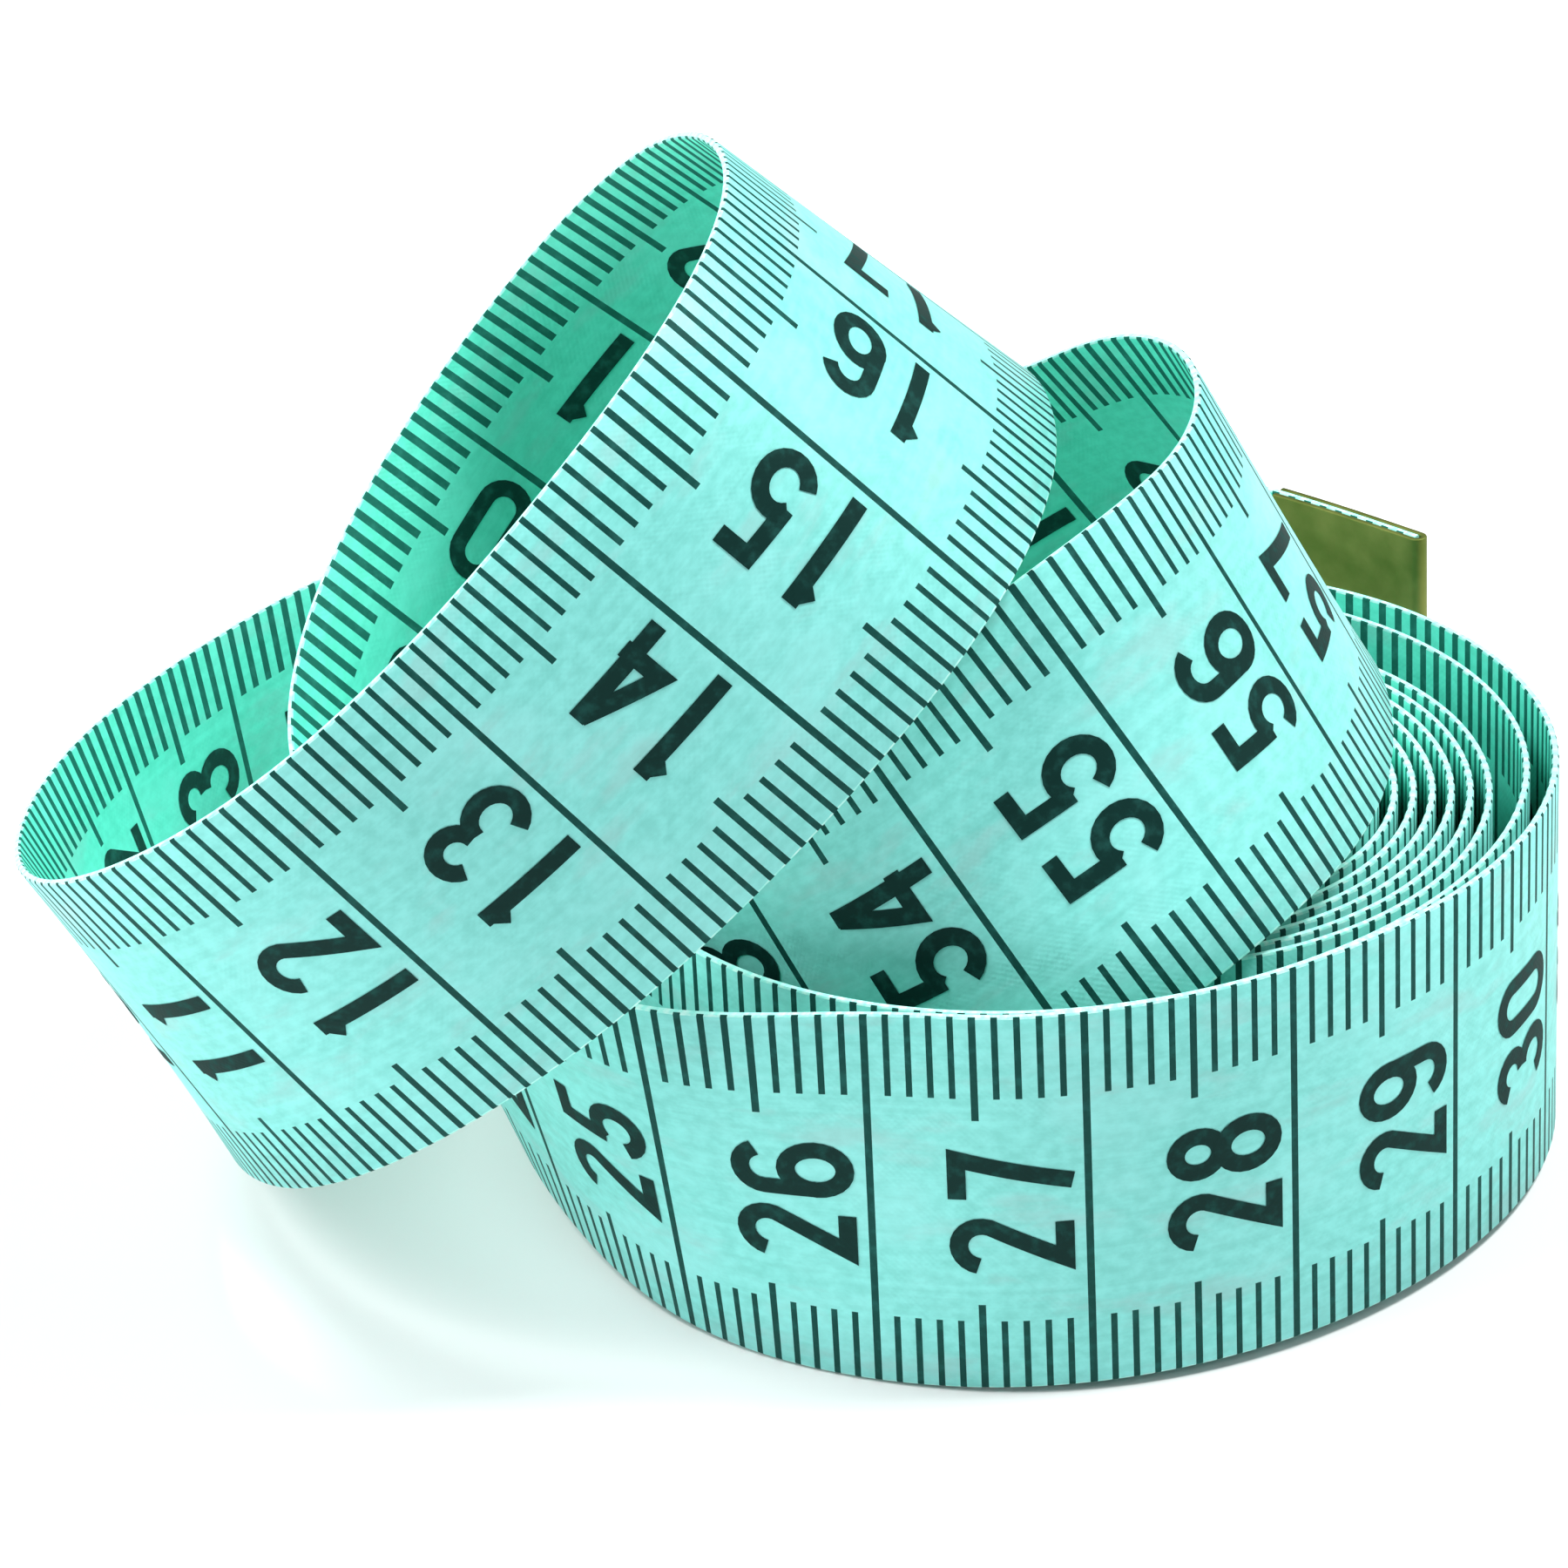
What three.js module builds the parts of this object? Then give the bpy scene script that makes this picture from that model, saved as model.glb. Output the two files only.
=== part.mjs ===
// Cloth tape measure, wound loosely and stood on its lower edge, with two loops drawn up out of the coil.
// Millimetres, +Z up. The coil stands on z = 0. The route is laid out round the coil's own centre, and the
// finished part is then moved so that the origin lies under the middle of the whole object.
import * as THREE from "three";

// The tape itself.
const TAPE_LENGTH = 1500;
const TAPE_WIDTH = 20;
const TAPE_THICKNESS = 0.36;

// The coil: an oval wall of outer turns, and a rounder ring of inner turns that stands off to the right.
const WINDING_GAP = 0.44;
const COIL_RADIUS = 21.3;
const COIL_OVAL = 1.1;
const COIL_DRIFT = 0.8;
const COIL_SLACK = 1.4;
const BORE_RADIUS = 7.5;
const RING_SHIFT = 2.9;
const RING_SLACK = 0.1;

// The last of the tape springs in from the winding by this much.
const TAIL_DROP = 1.4;

// The folded sheet-metal tip crimped over each end.
const TIP_LENGTH = 9;
const TIP_SHEET = 0.3;
const TIP_GAP = 0.3;

// Sections: degrees between them in the coil, and steps between two stations of a free loop.
const COIL_STEP = 12;
const FREE_STEPS = 5;

// The free loops, station by station: printed centimetre, place of the lower edge (x, y, height above the
// table) and how far the tape leans to the left and to the back there, in degrees. The places suit a tape
// 20 mm wide on a coil of 21.3 mm radius, and follow those two sizes.
const FIRST_LOOP = [
  [0, 19, 25, 0.1, 0, 0],
  [1.5, 7.5, 34.5, 0.1, 0, 0],
  [3, -7, 39, 0.1, 0, 0],
  [4.5, -21.5, 35.5, 0.1, 3, 2],
  [6, -34, 27, 0.1, 5, 4],
  [7.5, -41.5, 14, 0.6, 11, 7],
  [9, -42, -0.5, 3, 25, 10],
  [10.5, -36.5, -13.5, 8.5, 35, 5],
  [12, -25.5, -19.8, 17.7, 39, -2],
  [13.5, -14, -18.6, 27.4, 41, 1],
  [15, -4, -12.8, 36.8, 45, 8],
  [16.5, -0.5, 2.8, 38.3, 48, 9],
  [18, -4, 18.6, 33.6, 51, 1],
  [19.5, -13, 23.2, 22.5, 49, 0],
  [21, -22.5, 18, 12, 43, -11],
  [22.5, -28.5, 7, 4, 25, -18],
  [24, -25, -6.5, 1, 11, -13],
  [25, -19.5, -14.5, 0.25, 6, -9],
];
const SECOND_LOOP = [
  [50, -17.3, 10, 0.5, 1, 2],
  [51.2, -17.8, -1.5, 2.5, 10, 8],
  [52.4, -13.5, -11.7, 6.7, 22, 8],
  [53.6, -4.8, -18, 12.8, 31, 18],
  [54.8, 5.5, -17.8, 19.9, 32, 26],
  [56, 13, -9, 22.3, 28, 11],
  [57.4, 15, 4.5, 22.7, 28, 5],
  [58.6, 11.8, 15.5, 19.6, 39, 2],
  [60, 0, 17.4, 11.3, 34, 2],
  [61.4, -10.1, 11.6, 5, 23, -7],
  [62.8, -14.6, -0.5, 1.2, 12, -9],
  [64.2, -9.5, -12.4, 0.1, 2, -1],
];

// The angles, in degrees, between which the outer wall winds, and from which the inner ring does.
const WALL_FROM = -115;
const WALL_TO = 490;
const RING_FROM = -105;

const rad = THREE.MathUtils.degToRad;
const plan = COIL_RADIUS / 21.3;
const rise = TAPE_WIDTH / 20;
const pitch = TAPE_THICKNESS + WINDING_GAP;
const tailLength = 9 * BORE_RADIUS;

// Radius of the outer wall after it has gone round by an angle: an oval, looser at the back right.
function wallRadius(angle) {
  const a = rad(angle);
  const oval = COIL_RADIUS + COIL_OVAL * Math.cos(2 * (a - rad(30))) + COIL_DRIFT * Math.cos(a - rad(120));
  const loose = pitch + COIL_SLACK * ((1 + Math.cos(a - rad(60))) / 2) ** 3;
  return oval + loose * (1 - (angle - 25) / 360);
}

// Outer radius of a ring that winds a length of tape round the bore.
function ringOutside(length) {
  return Math.sqrt(BORE_RADIUS ** 2 + length * (pitch + RING_SLACK / 2) / Math.PI);
}

// Radius of the inner ring about its own centre, a little looser on its right side.
function ringRadius(angle, outside) {
  const loose = pitch + RING_SLACK * (1 + Math.cos(rad(angle))) / 2;
  return outside - loose * (angle - RING_FROM) / 360;
}

function station([mark, x, y, height, left, back]) {
  const foot = new THREE.Vector3(x * plan, y * plan, height * rise);
  const across = new THREE.Vector3(-Math.tan(rad(left)), Math.tan(rad(back)), 1).normalize();
  return { at: mark * 10 * plan, foot, across, steps: FREE_STEPS };
}

function wound(at, radius, angle, shift) {
  const foot = new THREE.Vector3(radius * Math.cos(rad(angle)) + shift, radius * Math.sin(rad(angle)), 0);
  return { at, foot, across: new THREE.Vector3(0, 0, 1), steps: 1 };
}

// Length along the tape at a station that follows the last one of a list.
function reach(list, next) {
  return list.at(-1).at + list.at(-1).foot.distanceTo(next.foot);
}

// All stations in order along the tape, from the zero end outside to the far end inside.
function stationsOfTape() {
  const list = FIRST_LOOP.map(station);
  let at = reach(list, wound(0, wallRadius(WALL_FROM), WALL_FROM, 0));
  for (let angle = WALL_FROM; angle <= WALL_TO; angle += COIL_STEP) {
    list.push(wound(at, wallRadius(angle), angle, 0));
    at += wallRadius(angle + COIL_STEP / 2) * rad(COIL_STEP);
  }
  list.at(-1).steps = FREE_STEPS;
  const second = SECOND_LOOP.map(station);
  const late = reach(list, second[0]) - second[0].at;
  second.forEach((one) => list.push({ ...one, at: one.at + late }));
  const outside = ringOutside(TAPE_LENGTH - list.at(-1).at);
  at = reach(list, wound(0, outside, RING_FROM, RING_SHIFT));
  let angle = RING_FROM;
  while (at < TAPE_LENGTH) {
    const tail = Math.max(0, 1 - (TAPE_LENGTH - at) / tailLength);
    const radius = ringRadius(angle, outside) - TAIL_DROP * tail * tail * (3 - 2 * tail);
    list.push(wound(at, radius, angle, RING_SHIFT));
    const left = (TAPE_LENGTH - at) / radius;
    angle += Math.min(COIL_STEP, THREE.MathUtils.radToDeg(left) + 0.001);
    at += radius * Math.min(rad(COIL_STEP), left + 0.001);
  }
  return list;
}

// Second derivatives of the smoothest curve through the values at the stations.
function bends(at, value) {
  const bend = value.map(() => 0);
  const carry = value.map(() => 0);
  for (let i = 1; i < value.length - 1; i++) {
    const before = at[i] - at[i - 1];
    const after = at[i + 1] - at[i];
    const turn = (value[i + 1] - value[i]) / after - (value[i] - value[i - 1]) / before;
    const pivot = 2 * (before + after) - before * carry[i - 1];
    carry[i] = after / pivot;
    bend[i] = (6 * turn - before * bend[i - 1]) / pivot;
  }
  for (let i = value.length - 2; i > 0; i--) bend[i] -= carry[i] * bend[i + 1];
  return bend;
}

// The sections of the tape: lower edge, direction along, direction across and the printed face's normal.
function sectionsOfTape() {
  const list = stationsOfTape();
  const at = list.map((one) => one.at);
  const columns = [0, 1, 2, 3, 4, 5].map((k) =>
    list.map((one) => (k < 3 ? one.foot.getComponent(k) : one.across.getComponent(k - 3))),
  );
  const bent = columns.map((column) => bends(at, column));
  const sections = [];
  list.slice(0, -1).forEach((one, i) => {
    const gap = at[i + 1] - at[i];
    const last = i === list.length - 2 ? 1 : 0;
    for (let k = 0; k < one.steps + last; k++) {
      const q = k / one.steps;
      const p = 1 - q;
      const value = columns.map(
        (c, j) =>
          p * c[i] + q * c[i + 1] + ((p ** 3 - p) * bent[j][i] + (q ** 3 - q) * bent[j][i + 1]) * gap * gap / 6,
      );
      const slope = columns.map(
        (c, j) =>
          (c[i + 1] - c[i]) / gap + ((1 - 3 * p * p) * bent[j][i] + (3 * q * q - 1) * bent[j][i + 1]) * gap / 6,
      );
      const foot = new THREE.Vector3(value[0], value[1], value[2]);
      const along = new THREE.Vector3(slope[0], slope[1], slope[2]).normalize();
      const across = new THREE.Vector3(value[3], value[4], value[5]);
      across.addScaledVector(along, -across.dot(along)).normalize();
      const face = new THREE.Vector3().crossVectors(along, across).normalize();
      sections.push({ mark: at[i] + q * gap, foot, along, across, face });
    }
  });
  return sections;
}

// A closed strip of sheet through sections, from `below` to `above` across and half a thickness each side.
function strip(sections, below, above, thickness) {
  const corners = [];
  for (const { foot, across, face } of sections) {
    for (const [side, height] of [[1, below], [1, above], [-1, above], [-1, below]]) {
      corners.push(
        foot.clone().addScaledVector(across, height).addScaledVector(face, side * thickness / 2),
      );
    }
  }
  const index = [];
  const quad = (a, b, c, d) => index.push(a, b, c, a, c, d);
  for (let i = 0; i < sections.length - 1; i++) {
    for (let k = 0; k < 4; k++) {
      const a = 4 * i + k;
      const b = 4 * i + (k + 1) % 4;
      quad(a, a + 4, b + 4, b);
    }
  }
  const end = 4 * (sections.length - 1);
  quad(0, 1, 2, 3);
  quad(end + 3, end + 2, end + 1, end);
  const geometry = new THREE.BufferGeometry().setFromPoints(corners);
  geometry.setIndex(index);
  geometry.computeVertexNormals();
  return geometry;
}

// The tip's sheet runs along one face of the tape to its end, folds round the end and runs back.
function tipSections(tape) {
  const reach = TAPE_THICKNESS / 2 + TIP_GAP + TIP_SHEET / 2;
  const start = tape[0].mark;
  const held = tape.filter((one) => Math.abs(one.mark - start) < TIP_LENGTH);
  const sense = tape[1].mark > start ? -1 : 1;
  const outward = held[0].along.clone().multiplyScalar(sense);
  const leaf = (side) =>
    held.map((one) => ({
      foot: one.foot.clone().addScaledVector(one.face, side * reach),
      across: one.across,
      face: one.face.clone().multiplyScalar(side * sense),
    }));
  const fold = [];
  for (const turn of [150, 120, 90, 60, 30]) {
    const away = outward.clone().multiplyScalar(Math.sin(rad(turn)));
    away.addScaledVector(held[0].face, -Math.cos(rad(turn)));
    const foot = held[0].foot.clone().addScaledVector(away, reach);
    fold.push({ foot, across: held[0].across, face: away.multiplyScalar(sense) });
  }
  return [...leaf(1).reverse(), ...fold, ...leaf(-1)];
}

// The least distance between points of the tape and any other stretch of it, face to face.
function leastGap(sections) {
  const point = (one, share) => one.foot.clone().addScaledVector(one.across, share * TAPE_WIDTH);
  const low = sections.map((one) => point(one, 0));
  const high = sections.map((one) => point(one, 1));
  const near = new THREE.Vector3();
  let least = Infinity;
  let where = [];
  for (let i = 0; i < sections.length - 1; i++) {
    const halves = [
      new THREE.Triangle(low[i], low[i + 1], high[i + 1]),
      new THREE.Triangle(low[i], high[i + 1], high[i]),
    ];
    const middle = low[i].clone().add(high[i + 1]).multiplyScalar(0.5);
    for (const one of sections) {
      if (Math.abs(one.mark - sections[i].mark) < 0.75 * TAPE_WIDTH) continue;
      for (const share of [0, 0.125, 0.25, 0.375, 0.5, 0.625, 0.75, 0.875, 1]) {
        const here = point(one, share);
        if (here.distanceTo(middle) > TAPE_WIDTH) continue;
        for (const half of halves) {
          const gap = half.closestPointToPoint(here, near).distanceTo(here) - TAPE_THICKNESS;
          if (gap < least) {
            least = gap;
            where = [one.mark, sections[i].mark];
          }
        }
      }
    }
  }
  return { least, where };
}

const sections = sectionsOfTape();
const middles = sections.map((one) => one.foot.clone().addScaledVector(one.across, TAPE_WIDTH / 2));
const length = middles.slice(1).reduce((sum, one, i) => sum + one.distanceTo(middles[i]), 0);
const gap = leastGap(sections);
console.log(
  "tape length " + length.toFixed(1) + " mm, least gap to itself " + gap.least.toFixed(3) + " mm at " +
    gap.where.map((mark) => (mark / 10).toFixed(1)).join(" and ") + " cm",
);

const cloth = new THREE.MeshStandardMaterial({ color: 0x86e6d8, roughness: 0.55, side: THREE.DoubleSide });
const brass = new THREE.MeshStandardMaterial({ color: 0x9a8a3c, roughness: 0.35, metalness: 1 });

const part = new THREE.Group();
function add(name, geometry, material) {
  const mesh = new THREE.Mesh(geometry, material);
  mesh.name = name;
  part.add(mesh);
}
add("tape", strip(sections, 0, TAPE_WIDTH, TAPE_THICKNESS), cloth);
add("zero_end_tip", strip(tipSections(sections), 0, TAPE_WIDTH, TIP_SHEET), brass);
const fromFar = [...sections].reverse();
add("far_end_tip", strip(tipSections(fromFar), 0, TAPE_WIDTH, TIP_SHEET), brass);

const bounds = new THREE.Box3().setFromObject(part);
const middle = bounds.getCenter(new THREE.Vector3());
part.children.forEach((mesh) => mesh.geometry.translate(-middle.x, -middle.y, -bounds.min.z));

export default part;
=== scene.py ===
# %% [markdown]
# A cloth tape measure, wound loosely and stood on its lower edge, with two loops drawn up out of the
# coil. The imported model is loaded first, as a fixed frame in metres, and its box is kept. Blender then
# dresses the frame: it makes the printed cloth, the numbers and the metal tips, and sets up the camera,
# the table and the light.

# %% Load the frame
import math

import bpy
import numpy as np
from mathutils import Matrix, Vector


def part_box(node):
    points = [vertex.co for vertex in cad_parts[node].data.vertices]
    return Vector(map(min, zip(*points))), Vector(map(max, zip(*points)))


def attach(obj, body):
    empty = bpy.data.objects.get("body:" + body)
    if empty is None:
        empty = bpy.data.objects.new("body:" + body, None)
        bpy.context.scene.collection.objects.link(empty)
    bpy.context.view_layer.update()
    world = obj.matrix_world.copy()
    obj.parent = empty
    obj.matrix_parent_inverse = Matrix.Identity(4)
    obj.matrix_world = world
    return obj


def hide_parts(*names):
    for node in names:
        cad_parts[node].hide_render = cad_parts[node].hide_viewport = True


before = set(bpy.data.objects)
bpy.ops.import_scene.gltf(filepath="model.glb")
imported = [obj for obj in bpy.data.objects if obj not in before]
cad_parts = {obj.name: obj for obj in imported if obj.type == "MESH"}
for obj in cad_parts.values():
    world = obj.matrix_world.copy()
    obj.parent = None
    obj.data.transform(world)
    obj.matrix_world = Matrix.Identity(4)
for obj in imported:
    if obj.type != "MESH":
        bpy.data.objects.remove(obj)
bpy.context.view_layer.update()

MM = 0.001

# %% [markdown]
# The route is the path that the tape takes through the air and round the coil. It could be a drawn
# curve with a strip swept along it, but then the printed marks and the lean of the tape would drift. So
# the route is a list of stations. Where the tape is free, they are listed one by one, each with a printed
# centimetre, the place of the lower edge and the lean. Where it is wound, a formula gives them: an oval
# wall of two outer turns, and a rounder ring of inner turns. One smooth curve through all of them gives
# the tape at any mark. The values repeat the solid model's own.

# %% Sizes of the tape and its coil, in millimetres and degrees
TAPE_LENGTH = 1500
TAPE_WIDTH = 20
TAPE_THICKNESS = 0.36
WINDING_GAP = 0.44
COIL_RADIUS = 21.3
COIL_OVAL = 1.1
COIL_DRIFT = 0.8
COIL_SLACK = 1.4
BORE_RADIUS = 7.5
RING_SHIFT = 2.9
RING_SLACK = 0.1
TAIL_DROP = 1.4
COIL_STEP = 12
WALL_FROM = -115
WALL_TO = 490
RING_FROM = -105
PITCH = TAPE_THICKNESS + WINDING_GAP
TAIL_LENGTH = 9 * BORE_RADIUS
HALF = TAPE_THICKNESS / 2
print("tape", TAPE_LENGTH, "by", TAPE_WIDTH, "mm, wound at a pitch of", PITCH)

# %% Stations of the two free loops: mark, x, y, height, lean to the left, lean to the back
FIRST_LOOP = [
    (0, 19, 25, 0.1, 0, 0),
    (1.5, 7.5, 34.5, 0.1, 0, 0),
    (3, -7, 39, 0.1, 0, 0),
    (4.5, -21.5, 35.5, 0.1, 3, 2),
    (6, -34, 27, 0.1, 5, 4),
    (7.5, -41.5, 14, 0.6, 11, 7),
    (9, -42, -0.5, 3, 25, 10),
    (10.5, -36.5, -13.5, 8.5, 35, 5),
    (12, -25.5, -19.8, 17.7, 39, -2),
    (13.5, -14, -18.6, 27.4, 41, 1),
    (15, -4, -12.8, 36.8, 45, 8),
    (16.5, -0.5, 2.8, 38.3, 48, 9),
    (18, -4, 18.6, 33.6, 51, 1),
    (19.5, -13, 23.2, 22.5, 49, 0),
    (21, -22.5, 18, 12, 43, -11),
    (22.5, -28.5, 7, 4, 25, -18),
    (24, -25, -6.5, 1, 11, -13),
    (25, -19.5, -14.5, 0.25, 6, -9),
]
SECOND_LOOP = [
    (50, -17.3, 10, 0.5, 1, 2),
    (51.2, -17.8, -1.5, 2.5, 10, 8),
    (52.4, -13.5, -11.7, 6.7, 22, 8),
    (53.6, -4.8, -18, 12.8, 31, 18),
    (54.8, 5.5, -17.8, 19.9, 32, 26),
    (56, 13, -9, 22.3, 28, 11),
    (57.4, 15, 4.5, 22.7, 28, 5),
    (58.6, 11.8, 15.5, 19.6, 39, 2),
    (60, 0, 17.4, 11.3, 34, 2),
    (61.4, -10.1, 11.6, 5, 23, -7),
    (62.8, -14.6, -0.5, 1.2, 12, -9),
    (64.2, -9.5, -12.4, 0.1, 2, -1),
]


# %% Formulas of the winding
OVAL_TURN = math.radians(60)
DRIFT_TURN = math.radians(120)
SLACK_TURN = math.radians(60)
EVEN_ANGLE = 25


def wall_radius(angle):
    turn = math.radians(angle)
    oval = COIL_OVAL * math.cos(2 * turn - OVAL_TURN)
    drift = COIL_DRIFT * math.cos(turn - DRIFT_TURN)
    loose = PITCH + COIL_SLACK * ((1 + math.cos(turn - SLACK_TURN)) / 2) ** 3
    return COIL_RADIUS + (oval + drift) + loose * (1 - (angle - EVEN_ANGLE) / 360)


def ring_radius(angle, outside):
    loose = PITCH + RING_SLACK * (1 + math.cos(math.radians(angle))) / 2
    return outside - loose * (angle - RING_FROM) / 360


# %% A station: its mark, the place of the lower edge and the direction across the tape
def free_station(mark, x, y, height, left, back):
    across = Vector((-math.tan(math.radians(left)), math.tan(math.radians(back)), 1)).normalized()
    return [mark * 10, x, y, height, *across]


def wound_station(mark, radius, angle, shift):
    turn = math.radians(angle)
    return [mark, radius * math.cos(turn) + shift, radius * math.sin(turn), 0, 0, 0, 1]


def reach(rows, row):
    """The mark of a station that goes straight on from the last one."""
    return rows[-1][0] + math.dist(rows[-1][1:4], row[1:4])


# %% All stations in order, from the zero end outside to the far end inside
LAST_STEP = 0.001


def wall_rows(rows):
    mark = reach(rows, wound_station(0, wall_radius(WALL_FROM), WALL_FROM, 0))
    for angle in range(WALL_FROM, WALL_TO + 1, COIL_STEP):
        rows.append(wound_station(mark, wall_radius(angle), angle, 0))
        mark += wall_radius(angle + COIL_STEP / 2) * math.radians(COIL_STEP)


def ring_rows(rows):
    held = (TAPE_LENGTH - rows[-1][0]) * (PITCH + RING_SLACK / 2) / math.pi
    outside = math.sqrt(BORE_RADIUS**2 + held)
    mark = reach(rows, wound_station(0, outside, RING_FROM, RING_SHIFT))
    angle = RING_FROM
    while mark < TAPE_LENGTH:
        tail = max(0, 1 - (TAPE_LENGTH - mark) / TAIL_LENGTH)
        radius = ring_radius(angle, outside) - TAIL_DROP * tail * tail * (3 - 2 * tail)
        rows.append(wound_station(mark, radius, angle, RING_SHIFT))
        step = min(math.radians(COIL_STEP), (TAPE_LENGTH - mark) / radius + LAST_STEP)
        angle += math.degrees(step)
        mark += radius * step


stations = [free_station(*row) for row in FIRST_LOOP]
wall_rows(stations)
second = [free_station(*row) for row in SECOND_LOOP]
late = reach(stations, second[0]) - second[0][0]
stations += [[row[0] + late, *row[1:]] for row in second]
ring_rows(stations)
stations = np.array(stations)
print(len(stations), "stations along", round(stations[-1, 0], 1), "mm of tape")


# %% The smoothest curve through the stations
def curve_bends(at, value):
    count = len(at)
    gap = np.diff(at)
    matrix = np.eye(count)
    turn = np.zeros_like(value)
    for i in range(1, count - 1):
        matrix[i, i - 1 : i + 2] = gap[i - 1], 2 * (gap[i - 1] + gap[i]), gap[i]
        turn[i] = 6 * ((value[i + 1] - value[i]) / gap[i] - (value[i] - value[i - 1]) / gap[i - 1])
    return np.linalg.solve(matrix, turn)


ROUTE_AT = stations[:, 0]
ROUTE_VALUE = stations[:, 1:]
ROUTE_BEND = curve_bends(ROUTE_AT, ROUTE_VALUE)
print("sharpest change of direction", float(np.abs(ROUTE_BEND[:, :3]).max().round(3)))

# %% [markdown]
# The cloth isn't quite at rest on the table: at the front the outer turn hangs a little clear of it,
# which shows as a dark line under its edge. It could be put into the stations, but those are the solid
# model's, so it is added here, to the height of the lower edge. It stays under a millimetre.

# %% How far the lower edge of the outer turn hangs clear of the table
HANG = 0.55
HANG_FROM = 250
HANG_TO = 316


def outer_hang(marks):
    share = np.clip((marks - HANG_FROM) / (HANG_TO - HANG_FROM), 0, 1)
    return HANG * np.sin(math.pi * share) ** 2


# %% The tape at any mark
def unit(rows):
    return rows / np.linalg.norm(rows, axis=1)[:, None]


def route_at(marks):
    """At each mark, in millimetres: the lower edge, the ways along and across, and the front's normal."""
    held = np.clip(marks, 0, TAPE_LENGTH)
    i = np.clip(np.searchsorted(ROUTE_AT, held, side="right") - 1, 0, len(ROUTE_AT) - 2)
    gap = (ROUTE_AT[i + 1] - ROUTE_AT[i])[:, None]
    q = (held - ROUTE_AT[i])[:, None] / gap
    p = 1 - q
    near, far = ROUTE_VALUE[i], ROUTE_VALUE[i + 1]
    bend, next_bend = ROUTE_BEND[i], ROUTE_BEND[i + 1]
    value = p * near + q * far + ((p**3 - p) * bend + (q**3 - q) * next_bend) * gap**2 / 6
    slope = (far - near) / gap + ((1 - 3 * p**2) * bend + (3 * q**2 - 1) * next_bend) * gap / 6
    along = unit(slope[:, :3])
    across = value[:, 3:]
    across = unit(across - (across * along).sum(axis=1)[:, None] * along)
    foot = value[:, :3] + along * (marks - held)[:, None]
    foot[:, 2] += outer_hang(marks)
    return foot, along, across, np.cross(along, across)


# %% [markdown]
# The solid model was moved so that its origin lies under the middle of the whole object. The tape's box
# in the frame says by how much, so the route is moved by the same amount. From here on, one function
# gives the place of any spot on the tape, in metres: its mark along, its height across and its lift off
# the middle.

# %% Any spot on the tape, in the frame's metres
EDGE_SPOTS = 3001

low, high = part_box("tape")
edge_foot, _, edge_across, _ = route_at(np.linspace(0, TAPE_LENGTH, EDGE_SPOTS))
edges = np.concatenate([edge_foot, edge_foot + edge_across * TAPE_WIDTH])
edge_box = np.array([edges.min(axis=0), edges.max(axis=0)])
frame_middle = (np.array(low) + np.array(high)) / (2 * MM)
to_frame = frame_middle - edge_box.mean(axis=0)
to_frame[2] = 0


def on_tape(marks, heights, lifts):
    """Places of spots given by three arrays of the same length."""
    foot, _, across, face = route_at(np.asarray(marks, float))
    spots = foot + across * np.asarray(heights)[:, None] + face * np.asarray(lifts)[:, None]
    return (spots + to_frame) * MM


print("route moved into the frame by", to_frame.round(2).tolist(), "mm")

# %% [markdown]
# The camera comes before the looks, so that every piece can be judged against the photograph. It could
# be made to track a target, but a photograph is matched by its own place, tilt and roll, so these are
# given as they are. It stands in front of the coil, looks down at it from a distance with a long lens,
# and is rolled a little to one side.

# %% Camera
CAMERA_PLACE = Vector((-14.0, -281.7, 174.8))
CAMERA_DOWN = 28.6
CAMERA_ROLL = -3.0
CAMERA_LENS = 154.1
SENSOR_WIDTH = 36
NEAREST_SEEN = 0.01

camera = bpy.data.objects.new("camera", bpy.data.cameras.new("camera"))
bpy.context.scene.collection.objects.link(camera)
camera.data.lens = CAMERA_LENS
camera.data.sensor_width = SENSOR_WIDTH
camera.data.clip_start = NEAREST_SEEN
tilt = Matrix.Rotation(math.radians(90 - CAMERA_DOWN), 4, "X")
roll = Matrix.Rotation(math.radians(CAMERA_ROLL), 4, "Z")
camera.matrix_world = Matrix.Translation((CAMERA_PLACE + Vector(to_frame)) * MM) @ (tilt @ roll)
bpy.context.scene.camera = camera
print("camera at", [round(v, 3) for v in camera.matrix_world.translation])

# %% [markdown]
# The tape is a strip of coated cloth with a scale on both sides, and here it is one closed mesh. Its
# lines could be a pattern in the material, but a pattern is soft up close and isn't in the mesh. So
# each section of the tape is a ring of points: up the printed front, over the rim, down the back and
# under the other rim. Sections lie at both sides of every printed millimetre line, so the lines are
# faces of the cloth itself, with ink as their material, and stay sharp from any distance. The back's
# lines are printed wider, so its points have marks of their own. Every corner keeps its mark and height
# as its UV, which the finish reads later.

# %% Print of the scale, in millimetres
FRONT_LINE_HALVES = {1: 0.15, 5: 0.17, 10: 0.175}
BACK_LINE_HALVES = {1: 0.22, 5: 0.22, 10: 0.2}
RIM = 0.1
RIM_LIFT = 0.11
FRONT_LOW_TICKS = (3.7, 4.6)
FRONT_HIGH_TICKS = (4.3, 5.45)
BACK_LOW_TICKS = (4.3, 5.45)
BACK_HIGH_TICKS = (3.6, 4.8)
NUMBER_STRIPS = 4
NEVER = 100
STRIP_LEVELS = (1, 1, 5) + (10,) * NUMBER_STRIPS + (5, 1, 1)
STRIP_COUNT = len(STRIP_LEVELS)


def line_level(mark):
    """10 at a centimetre, 5 at a half and 1 at any other millimetre."""
    return 10 if mark % 10 == 0 else 5 if mark % 5 == 0 else 1


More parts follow.
